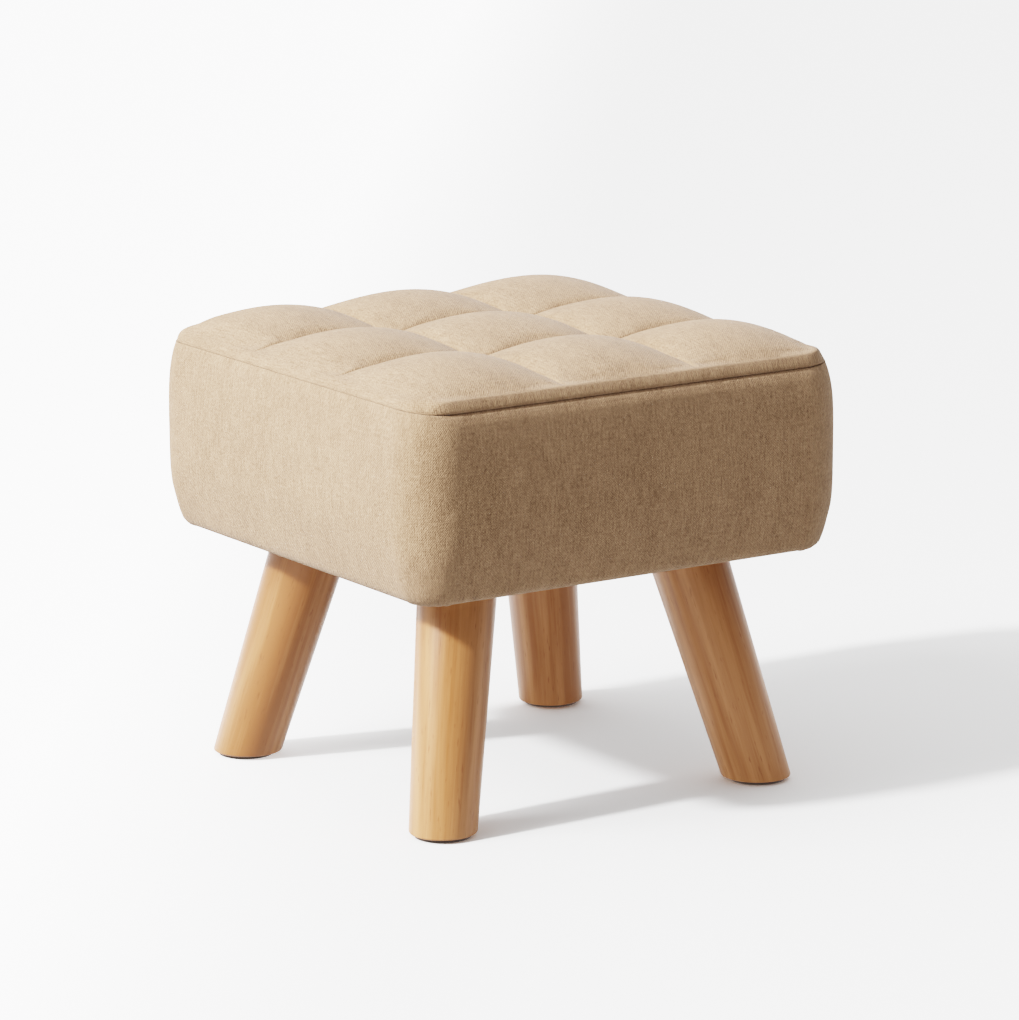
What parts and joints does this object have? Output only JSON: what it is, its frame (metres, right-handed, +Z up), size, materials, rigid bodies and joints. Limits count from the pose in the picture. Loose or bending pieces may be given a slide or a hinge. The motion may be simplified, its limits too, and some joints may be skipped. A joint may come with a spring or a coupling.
{
  "type": "square footstool",
  "caption": "Low square footstool with a quilted, foam-filled cloth seat on splayed round wooden legs screwed on with angled steel plates.",
  "frame": {"origin": "on the floor, under the centre of the seat", "axes": "+Z up, -Y towards the front; the seat's sides are parallel to X and Y, and each leg leans out along a diagonal"},
  "size_m": [0.3, 0.3, 0.2796],
  "materials": {
    "seat_cloth": "plain linen-look weave, matt",
    "leg_wood": "clear satin lacquer",
    "foot_felt": "pressed felt",
    "plywood": "raw, sawn edges",
    "seat_foam": "open-cell foam",
    "wadding": "bonded fibre wadding",
    "dust_cloth": "thin nonwoven cloth",
    "zinc_steel": "zinc plated"
  },
  "bodies": {
    "root": {"seat_board": "plywood", "foam_block": "seat_foam", "top_wadding": "wadding", "top_cover": "seat_cloth", "side_band": "seat_cloth", "dust_cover": "dust_cloth", "leg_front_left": "leg_wood", "leg_front_right": "leg_wood", "leg_back_left": "leg_wood", "leg_back_right": "leg_wood", "felt_pad_front_left": "foot_felt", "felt_pad_front_right": "foot_felt", "felt_pad_back_left": "foot_felt", "felt_pad_back_right": "foot_felt", "leg_plate_front_left": "zinc_steel", "leg_plate_front_right": "zinc_steel", "leg_plate_back_left": "zinc_steel", "leg_plate_back_right": "zinc_steel", "plate_nut_front_left": "zinc_steel", "plate_nut_front_right": "zinc_steel", "plate_nut_back_left": "zinc_steel", "plate_nut_back_right": "zinc_steel", "hanger_bolt_front_left": "zinc_steel", "hanger_bolt_front_right": "zinc_steel", "hanger_bolt_back_left": "zinc_steel", "hanger_bolt_back_right": "zinc_steel", "plate_screw_front_left_1": "zinc_steel", "plate_screw_front_left_2": "zinc_steel", "plate_screw_front_left_3": "zinc_steel", "plate_screw_front_left_4": "zinc_steel", "plate_screw_front_right_1": "zinc_steel", "plate_screw_front_right_2": "zinc_steel", "plate_screw_front_right_3": "zinc_steel", "plate_screw_front_right_4": "zinc_steel", "plate_screw_back_left_1": "zinc_steel", "plate_screw_back_left_2": "zinc_steel", "plate_screw_back_left_3": "zinc_steel", "plate_screw_back_left_4": "zinc_steel", "plate_screw_back_right_1": "zinc_steel", "plate_screw_back_right_2": "zinc_steel", "plate_screw_back_right_3": "zinc_steel", "plate_screw_back_right_4": "zinc_steel"}
  },
  "joints": []
}
